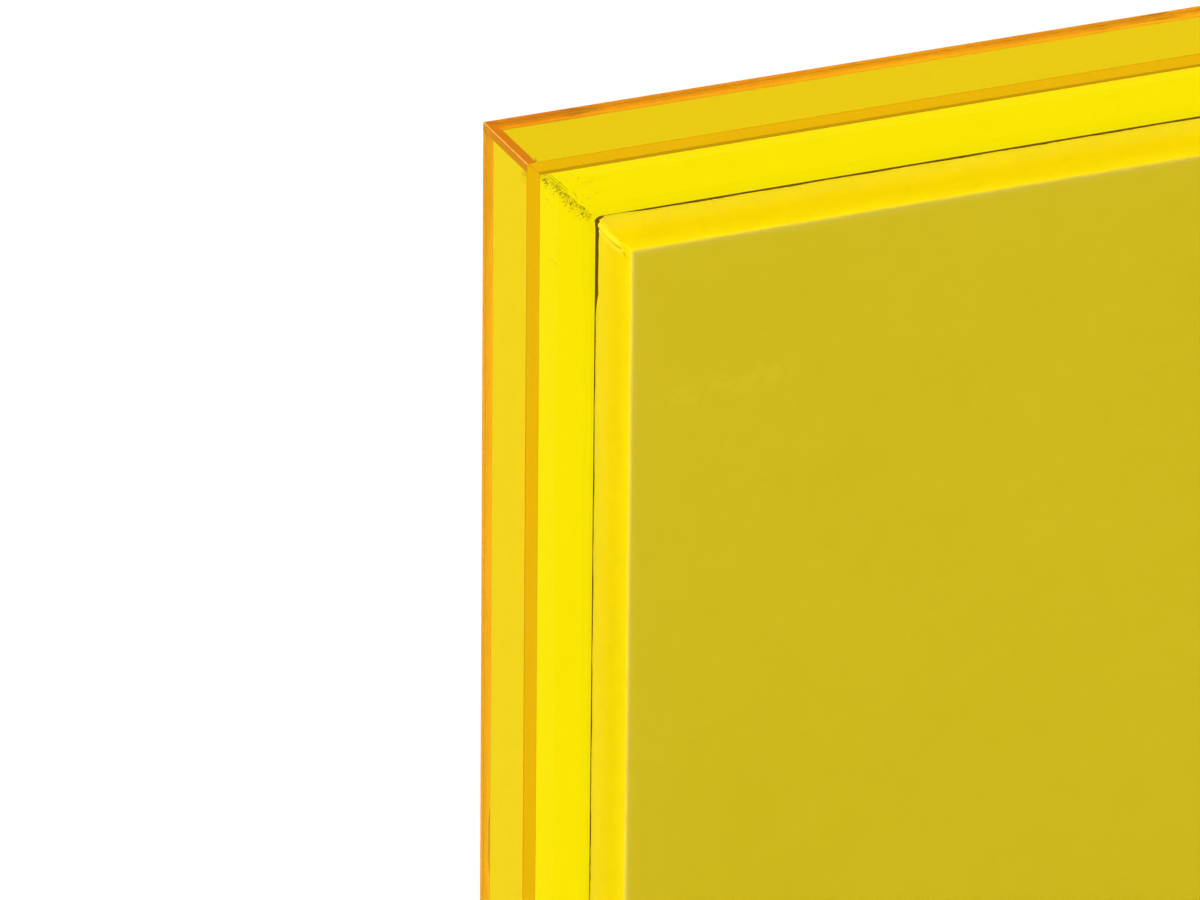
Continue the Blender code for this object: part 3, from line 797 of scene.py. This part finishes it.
def canvas_cloth():
    """The painted cloth: the grid with its corners and edges rounded, then the folds at both ends of the
    left and right sides, the tucks beside them, and the front's slight slack. Its UV map counts the
    threads, and its attributes tell the paint how far each point is from an edge or a fold."""
    c = cloth_grid()
    front = c.part == FRONT
    upright, level = np.isin(c.part, (RIGHT, LEFT)), np.isin(c.part, (TOP, BOTTOM))
    on_wall = c.travel <= CANVAS_DEPTH
    deep = np.minimum(c.travel, CANVAS_DEPTH)
    x, z, inside, out_x, out_z = round_corners(c.x, c.z, deep)
    x, z, deep = round_edges(x, z, deep, inside, out_x, out_z)
    from_end = (CANVAS_HALF_X - np.abs(c.flat_x)) / MM
    from_top = (CANVAS_HALF_Z - np.abs(c.flat_z)) / MM
    to_edge = np.minimum(from_end, from_top)

    share = 1 - c.travel / CANVAS_DEPTH
    height, pale, crease = fold_height(share, from_top)
    folded = upright & on_wall
    x = x + np.sign(x) * np.where(folded, height, 0)

    slack = SLACK * smoothstep(6, 60, to_edge)
    wave = np.sin(c.flat_x * 31 + 1.3) * np.sin(c.flat_z * 23)
    ripple = RIPPLE * wave * smoothstep(4, 30, to_edge)
    deep = deep + np.where(front, slack + ripple, 0)

    tuck = TUCK * hump((from_end - 7 + 9 * share) / 4.0) * smoothstep(0.0, 0.35, 1 - share)
    z = z - np.sign(z) * np.where(level & on_wall, tuck * smoothstep(0, 0.25, share), 0)

    points = xyz(x, FRONT_Y + SET_BACK + deep, z + CENTRE_Z)
    cloth = add_piece("painted_canvas_cloth", points, c.faces, (PAINT, RAW), weld=False)

    flat = c.faces.ravel()
    loop_part = np.repeat(c.face_part, 4)
    u = np.where(np.isin(loop_part, (RIGHT, LEFT)), c.travel[flat], c.flat_x[flat])
    v = np.where(np.isin(loop_part, (TOP, BOTTOM)), c.travel[flat], c.flat_z[flat])
    layer = cloth.data.uv_layers.new(name="threads")
    layer.data.foreach_set("uv", np.stack([u, v], -1).astype(np.float32).ravel())

    over = c.travel / MM
    # the painted highlight on the folded flaps
    flap = np.where(folded, pale, 0)
    edge_wear = hump(np.where(front, to_edge, over) / 1.4)
    channels = (
        ("behind", np.where(front, CANVAS_DEPTH / MM, (CANVAS_DEPTH - c.travel) / MM)),
        ("gap_shadow_line", gap_shadow_width(c.flat_x, c.flat_z, c.part == LEFT, c.part == TOP)),
        # worn edges, with part of the flaps' painted highlight added in
        ("wear_and_highlight", np.clip(edge_wear + 0.3 * flap, 0, 1)),
        ("flap", flap),
        ("crease", np.where(folded, crease, 0)),
        ("rim", np.where(front, np.exp(-to_edge / 9.0), 0.0)),
        ("side", np.where(front, 0.0, smoothstep(0.2, 1.6, over))),
    )
    for name, values in channels:
        channel = cloth.data.attributes.new(name, "FLOAT", "POINT")
        channel.data.foreach_set("value", values.astype(np.float32))

    wall = cloth.modifiers.new("cloth_thickness", "SOLIDIFY")
    wall.thickness = CLOTH_THICKNESS
    wall.offset = -1.0
    wall.material_offset = 1
    wall.material_offset_rim = 1
    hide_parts("canvas_cloth")


# ==== Fixings ====
STAPLE_HALF, STAPLE_HIGH, STAPLE_LEG = 5.0 * MM, 0.20 * MM, 1.6 * MM
STAPLE_WIDE, STAPLE_THICK = 1.2 * MM, 0.32 * MM
STAPLES_FROM_CORNER = 42 * MM
STAPLES_FROM_EDGE = 14.5 * MM
STAPLE_ASIDE = 16 * MM          # a staple that would meet a screw is set this much further along
THREAD_PITCH = 1.7 * MM
PLAIN_SHANK = 7 * MM            # of a screw, below its head
POINT_LONG = 4 * MM
WASHER_HOLE, WASHER_RIM = 2.3 * MM, 0.3 * MM
BUMPER_NOSE = 1.3 * MM          # radius of the bumper's rounded end
RING_WIRE = 1.25 * MM
RING_HALF = 12 * MM
RING_DROP = 19.5 * MM
RING_LEAN = math.radians(5)


def staple(centre, turn):
    """A flat wire bent to a U: a rectangle of wire carried over a crown with rounded shoulders."""
    half, high, leg, bend = STAPLE_HALF, STAPLE_HIGH, STAPLE_LEG, 0.35 * MM
    shoulder = [(-half, -leg), (-half, -bend), (-half + 0.12 * MM, 0.6 * high), (-half + 0.45 * MM, high)]
    path = np.array(shoulder + [(-x, z) for x, z in shoulder[::-1]])
    along = np.gradient(path, axis=0)
    along /= np.linalg.norm(along, axis=1)[:, None]
    inward = np.stack([-along[:, 1], along[:, 0]], -1) * STAPLE_THICK
    rows = []
    for depth, side in ((0, -1), (0, 1), (1, 1), (1, -1)):
        flat = path - depth * inward
        across, up = spun(flat[:, 0], side * STAPLE_WIDE / 2, turn)
        rows.append(xyz(centre[0] + across, centre[1] + flat[:, 1], centre[2] + up))
    points = np.stack(rows, 1)
    faces = grid_faces(len(path), 4, False, True).tolist()
    last = 4 * (len(path) - 1)
    faces += [[0, 1, 2, 3], [last + 3, last + 2, last + 1, last]]
    return points.reshape(-1, 3), faces


def staples():
    """Rows of staples through the turned-over cloth, each a little out of line."""
    rng = np.random.default_rng(41)
    y = CLOTH_HIGH.y
    parts = []
    for half_long, half_out, count, upright in (
        (CANVAS_HALF_X, CANVAS_HALF_Z, 8, False),
        (CANVAS_HALF_Z, CANVAS_HALF_X, 10, True),
    ):
        for way in (-1, 1):
            reach = half_long - STAPLES_FROM_CORNER
            for along in np.linspace(-reach, reach, count):
                if abs(abs(along) - 120 * MM) < 12 * MM and not upright:
                    along += STAPLE_ASIDE
                if upright and abs(along) < 14 * MM:
                    along += STAPLE_ASIDE
                along += rng.normal(0, 2.2 * MM)
                out = way * (half_out - STAPLES_FROM_EDGE + rng.normal(0, 1.1 * MM))
                turn = rng.normal(0, 0.14) + (QUARTER if upright else 0)
                centre = (out, y, CENTRE_Z + along) if upright else (along, y, CENTRE_Z + out)
                parts.append(staple(centre, turn))
    points, faces = joined(parts)
    piece = add_piece("cloth_staples", points, faces, (STAPLE_WIRE,), smooth=False)


def screw_shape(node, finish, head, shank):
    """A pan-head wood screw turned about Y, of a head's and a shank's radius. Rows run from the head's
    middle over its dome, under it, and down the shank to the point; the driver's cross is pressed into
    the dome, and a thread is wound on the shank as a ridge that climbs one pitch a turn."""
    low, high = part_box(node)
    dome = 0.62 * head
    seat = high.y - dome
    columns = 48
    angle = np.linspace(0, 2 * np.pi, columns, endpoint=False)
    share = np.concatenate([[0], np.linspace(0.04, 0.6, 13), [0.68, 0.76, 0.84, 0.91, 0.96, 0.99, 1.0]])
    share = share[:, None]
    r = head * share
    x, z = r * np.cos(angle), r * np.sin(angle)
    rise = dome * np.sqrt(np.maximum(1 - (share ** 2) * 0.93, 0)) ** 0.8

    def arm(across, along):
        wide = smoothstep(0.17 * head, 0.09 * head, np.abs(across))
        return wide * smoothstep(0.56 * head, 0.40 * head, np.abs(along))

    cross = np.maximum(arm(x, z), arm(z, x))
    pressed = 0.62 * dome * cross * smoothstep(0.75 * head, 0.2 * head, r)
    under = np.array([(1.0, 0.12), (0.97, 0), (0.6, 0)]).T[..., None]

    length = seat - low.y
    down = np.concatenate([
        [0, 0.4 * PLAIN_SHANK, 0.9 * PLAIN_SHANK],
        np.linspace(PLAIN_SHANK, length - POINT_LONG, 70),
        np.linspace(length - 0.9 * POINT_LONG, length, 9),
    ])[:, None]
    taper = np.clip((length - down) / POINT_LONG, 0, 1) ** 0.8
    phase = (down / THREAD_PITCH + angle / (2 * np.pi)) % 1
    ridge = smoothstep(0.28, 0.0, np.minimum(phase, 1 - phase)) * 0.32 * shank
    threaded = smoothstep(0.85 * PLAIN_SHANK, 1.15 * PLAIN_SHANK, down)
    radius = (shank * (0.98 - 0.26 * threaded) + ridge * threaded) * taper
    points = np.concatenate([
        rings(r, seat + rise - pressed, angle),
        rings(head * under[0], seat + dome * under[1], angle),
        rings(radius, seat - down, angle),
    ]) + np.array([(low.x + high.x) / 2, 0, (low.z + high.z) / 2])
    faces = grid_faces(len(points), columns, False, True)
    piece = add_piece(node + "_turned", points.reshape(-1, 3), faces, (finish,))
    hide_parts(node)


def round_node(node):
    """The middle of a round node's front, its radius and how tall it is."""
    low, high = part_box(node)
    centre = ((low.x + high.x) / 2, low.y, (low.z + high.z) / 2)
    return centre, (high.x - low.x) / 2, high.y - low.y


def washer_shape(node):
    """A moulded washer: its section is two half rounds, one at the rim and one at the hole."""
    centre, radius, thick = round_node(node)
    outer, inner, half = radius - WASHER_RIM, WASHER_HOLE + WASHER_RIM, thick / 2
    turn = np.linspace(0, np.pi, 7)
    profile = [(outer + WASHER_RIM * math.sin(t), half + half * math.cos(t)) for t in turn]
    profile += [(inner - WASHER_RIM * math.sin(t), half - half * math.cos(t)) for t in turn]
    profile.append(profile[0])
    piece = turned(node + "_moulded", profile, centre, (NYLON,), 40)
    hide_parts(node)


def bumper_shape(node):
    """A soft stud: a flat foot, sides that lean in, and a rounded, nearly flat end."""
    centre, radius, tall = round_node(node)
    flat, nose = radius * 0.62, BUMPER_NOSE
    profile = [(0, tall), (flat * 0.5, tall), (flat * 0.9, tall - 0.02 * MM)]
    for turn in np.linspace(0, QUARTER, 8)[1:]:
        profile.append((flat + nose * math.sin(turn), tall - nose + nose * math.cos(turn)))
    profile += [(radius - 0.15 * MM, 0.9 * MM), (radius, 0.5 * MM), (radius - 0.1 * MM, 0.08 * MM)]
    profile += [(radius - 0.25 * MM, 0), (0, 0)]
    piece = turned(node + "_moulded", profile, centre, (RUBBER,), 40)
    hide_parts(node)


def strap_shape(side):
    """The folded strap, its stamped edges softened."""
    strap = merged_copy("hanger_strap_" + side, (NICKEL,))
    soft = strap.modifiers.new("stamped_edges", "BEVEL")
    soft.width = 0.18 * MM
    soft.segments = 2
    soft.limit_method = "ANGLE"
    soft.angle_limit = math.radians(40)


def ring_shape(side, joint):
    """A wire D: a straight leg through the strap, then a half oval, cos^0.75 across and sin^0.8 down,
    hanging from the joint's line and leaning back on its strap."""
    pivot = Vector(joint["pos_m"])
    leg = np.linspace(-0.8, 0.8, 9)
    angle = np.linspace(0, np.pi, 73)
    across = np.sign(np.cos(angle)) * np.abs(np.cos(angle)) ** 0.75 * RING_HALF
    down = RING_DROP * np.sin(angle) ** 0.8 + 1.0 * MM * (1 - np.sin(angle))
    across = np.concatenate([leg * RING_HALF, across])
    down = np.concatenate([0 * leg, down])
    behind, below = down * math.sin(RING_LEAN), down * math.cos(RING_LEAN)
    path = xyz(pivot.x + across, pivot.y + behind, pivot.z - below)
    points, faces = tube(path, RING_WIRE, 16, closed=True)
    ring = add_piece("hanger_ring_" + side + "_wire", points, faces, (NICKEL,), "ring_" + side)
    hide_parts("hanger_ring_" + side)


# ==== Dust and lint in the corner ====
GRAINS, STRAYS = 1100, 260      # dust swept into the corner, and scattered over the floor
FULL_TURN = 6.28                # near enough, for a fibre that may lie any way


def on_floor(right, down):
    """Points on the tray's floor, so many mm right of the canvas's top left corner and below it."""
    x = -CANVAS_HALF_X + np.asarray(right) * MM
    z = CENTRE_Z + CANVAS_HALF_Z - np.asarray(down) * MM
    return xyz(x, FLOOR_Y, z)


def flecks(centres, sizes, rng):
    """Small eight-sided grains, each stretched and turned its own way."""
    base = np.array([(1, 0, 0), (-1, 0, 0), (0, 1, 0), (0, -1, 0), (0, 0, 1), (0, 0, -1)], float)
    shape_faces = np.array([
        (0, 2, 4), (2, 1, 4), (1, 3, 4), (3, 0, 4), (2, 0, 5), (1, 2, 5), (3, 1, 5), (0, 3, 5),
    ])
    count = len(centres)
    stretch = rng.uniform(0.45, 1.5, (count, 1, 3))
    stretch[:, :, 1] *= 0.35
    turn = rng.uniform(0, np.pi, count)[:, None]
    local = base * stretch * sizes[:, None, None]
    x, z = spun(local[..., 0], local[..., 2], turn)
    points = xyz(x, local[..., 1], z) + centres[:, None]
    faces = shape_faces[None] + 6 * np.arange(count)[:, None, None]
    return points.reshape(-1, 3), faces.reshape(-1, 3)


def corner_dust():
    """Grains swept along the diagonal of the tray's corner, thinning away to one side of it, and a few
    strays anywhere on the floor that the canvas leaves clear."""
    rng = np.random.default_rng(7)
    along = -rng.uniform(0.5, 27, GRAINS)
    off = np.abs(rng.normal(0, 1.9, GRAINS)) + 0.3
    near = rng.uniform(0, 1, GRAINS) < 0.88
    off = np.where(near, off, rng.normal(0, 5.0, GRAINS))
    size = rng.gamma(4.0, 0.038, GRAINS) * MM
    centres = on_floor(along - off * 0.6, along + off * 0.8)
    centres[:, 1] -= 0.3 * size
    reach_x, reach_z = TRAY_HALF_X - 9 * MM, TRAY_HALF_Z - 9 * MM
    x = rng.uniform(-reach_x, reach_x, STRAYS)
    z = CENTRE_Z + rng.uniform(-reach_z, reach_z, STRAYS)
    clear = (np.abs(x) > CANVAS_HALF_X + 2 * MM) | (np.abs(z - CENTRE_Z) > CANVAS_HALF_Z + 2 * MM)
    small = rng.gamma(2.5, 0.03, STRAYS) * MM
    strays = xyz(x, FLOOR_Y - 0.3 * small, z)[clear]
    points, faces = flecks(np.concatenate([centres, strays]), np.concatenate([size, small[clear]]), rng)
    add_piece("corner_dust", points, faces, (DUST,), smooth=False)


def fibre(start, heading, length, curl, radius, rng, sway=0.25):
    """A lint fibre lying on the floor: its heading drifts as a slow wave, and its ends taper. Lengths
    are in mm, and its start is (right, down) from the canvas's top left corner."""
    steps = 22
    t = np.linspace(0, 1, steps)
    phase = rng.uniform(0, FULL_TURN)
    turn = heading + curl * t + sway * np.sin(9 * t + phase)
    stride = length / (steps - 1)
    right = start[0] + np.concatenate([[0], np.cumsum(np.cos(turn[:-1]))]) * stride
    down = start[1] + np.concatenate([[0], np.cumsum(np.sin(turn[:-1]))]) * stride
    path = on_floor(right, down)
    path[:, 1] -= radius * MM + 0.12 * MM * np.sin(np.pi * t) * rng.uniform(0.2, 1.0)
    taper = radius * MM * (0.35 + 0.65 * np.sin(np.pi * np.clip(t, 0.04, 0.96)) ** 0.4)
    return tube(path, taper, 6)


def corner_lint():
    """Two long dark lines along the corner's diagonal, and the fibres caught there."""
    rng = np.random.default_rng(19)
    diagonal = math.radians(45)
    parts = [
        # two long dark lines along the corner's diagonal, laid in the fibre's shape
        fibre((-24.0, -24.4), diagonal, 17.0, 0.0, 0.10, rng, 0.01),
        fibre((-22.6, -24.4), diagonal, 15.0, 0.0, 0.08, rng, 0.01),
        fibre((-9.6, -12.6), 1.05, 4.2, 0.25, 0.07, rng),
        fibre((-6.0, -15.5), 0.10, 7.5, -1.1, 0.035, rng),
        fibre((-2.2, -14.4), -1.0, 4.5, 1.2, 0.03, rng),
        fibre((-20.5, 16.5), 0.2, 6.5, 1.3, 0.03, rng),
        fibre((-15.0, -18.5), 1.9, 4.0, 0.8, 0.03, rng),
    ]
    for _ in range(16):
        at = rng.uniform(-20, -2)
        start = (at - rng.uniform(0, 3.5), at + rng.uniform(0, 3.5))
        heading, length, curl = rng.uniform(0, FULL_TURN), rng.uniform(1.0, 3.0), rng.normal(0, 1.2)
        parts.append(fibre(start, heading, length, curl, 0.026, rng))
    points, faces = joined(parts)
    add_piece("corner_lint", points, faces, (FIBRE,))


# ==== Put together ====
for wall in WALLS:
    wall_sheet(*wall)
panel_sheet()
cement_bead()
canvas_cloth()
staples()

for name, node in frame["nodes"].items():
    lies_across = name.startswith(("top", "bottom", "key_left", "key_right"))
    if name.endswith("_bar"):
        node.data.materials[0] = (PINE_ACROSS if lies_across else PINE_UPRIGHT).material
    if name.startswith("key_"):
        node.data.materials[0] = (BEECH_ACROSS if lies_across else BEECH_UPRIGHT).material

for number in range(1, 7):
    screw_shape("fixing_screw_%d" % number, ZINC, 4.0 * MM, 2.0 * MM)
    washer_shape("fixing_washer_%d" % number)
for side in ("left", "right"):
    for level in ("upper", "lower"):
        screw_shape("hanger_screw_%s_%s" % (side, level), NICKEL, 3.2 * MM, 1.65 * MM)
    strap_shape(side)
    joint = next(j for j in frame["joints"] if j["name"] == "ring_%s_swing" % side)
    ring_shape(side, joint)
    for level in ("top", "bottom"):
        bumper_shape("bumper_%s_%s" % (level, side))

corner_dust()
corner_lint()


# ==== Floor, light and camera ====
FLOOR_REACH = 40.0              # metres from the middle to the floor's edges
FLOOR_GLOW = 0.48
FRONT_LIGHT = 0.24              # the light's strength on the side the canvas faces
BACK_LIGHT = 0.95               # and behind it
OVERHEAD_LIGHT = 4.7            # what is added overhead
LEFT_LIGHT = 6.2                # and from the left
CAMERA_TURN = math.radians(-23.5)
CAMERA_RISE = math.radians(25.3)
CAMERA_ROLL = math.radians(0.56)
CAMERA_AWAY = 4.079             # metres along the view to the tray's top left front corner
CORNER_LEFT = 0.0298            # metres from the middle of the view to that corner, to the left
CORNER_UP = 0.11669             # and upwards


def pale_floor():
    """A wide pale floor; a little of its own light keeps it even."""
    f = Finish("pale_floor")
    sockets = {
        "Base Color": (0.30, 0.30, 0.30),
        "Roughness": 0.9,
        "Specular IOR Level": 0.0,
        "Emission Color": (1.0, 1.0, 1.0, 1.0),
        "Emission Strength": FLOOR_GLOW,
    }
    f.principled(sockets)
    points = [(FLOOR_REACH * x, FLOOR_REACH * y, 0) for x, y in ((-1, -1), (1, -1), (1, 1), (-1, 1))]
    mesh = bpy.data.meshes.new("floor")
    mesh.from_pydata(points, [], [(0, 1, 2, 3)])
    mesh.materials.append(f.material)
    floor = in_scene("floor", mesh)


def studio_light():
    """White all round: dim on the side the canvas faces, brighter behind it, and brightest overhead and
    to the left, though not from in front."""
    world = bpy.data.worlds.new("studio")
    bpy.context.scene.world = world
    sky = Nodes(world, "ShaderNodeOutputWorld")
    way = sky.node("ShaderNodeTexCoord", output="Generated")
    behind = sky.axis(way, 1).above(-0.2, 0.35)
    not_front = sky.axis(way, 1).above(-0.35, 0.05)
    overhead = sky.axis(way, 2).above(0.45, 0.9)
    leftward = (0.0 - sky.axis(way, 0)).above(0.45, 0.95)
    lamps = overhead * OVERHEAD_LIGHT + leftward * LEFT_LIGHT
    total = FRONT_LIGHT + behind * (BACK_LIGHT - FRONT_LIGHT) + lamps * not_front
    sky.surface(sky.node("ShaderNodeBackground", None, {"Strength": total}))


def camera():
    """A long lens in front of the tray, to its left and above it, placed so that the tray's top left
    front corner is so far along the view, and so far left of its middle and above it."""
    back = Vector((
        math.sin(CAMERA_TURN) * math.cos(CAMERA_RISE),
        -math.cos(CAMERA_TURN) * math.cos(CAMERA_RISE),
        math.sin(CAMERA_RISE),
    ))
    forward = -back
    right = forward.cross(Vector((0, 0, 1))).normalized()
    up = right.cross(forward)
    across = right * math.cos(CAMERA_ROLL) + up * math.sin(CAMERA_ROLL)
    upward = up * math.cos(CAMERA_ROLL) - right * math.sin(CAMERA_ROLL)
    corner = Vector((-TRAY_HALF_X, FRONT_Y, CENTRE_Z + TRAY_HALF_Z))
    data = bpy.data.cameras.new("camera")
    data.lens = 300
    data.sensor_width = 36
    data.clip_end = 200
    seen = in_scene("camera", data)
    seen.location = corner + across * CORNER_LEFT - upward * CORNER_UP - forward * CAMERA_AWAY
    seen.rotation_mode = "QUATERNION"
    turn = np.array([across, upward, back]).T
    seen.rotation_quaternion = Matrix(turn.tolist()).to_quaternion()
    bpy.context.scene.camera = seen


pale_floor()
studio_light()
camera()
bpy.context.scene.view_settings.view_transform = "Standard"
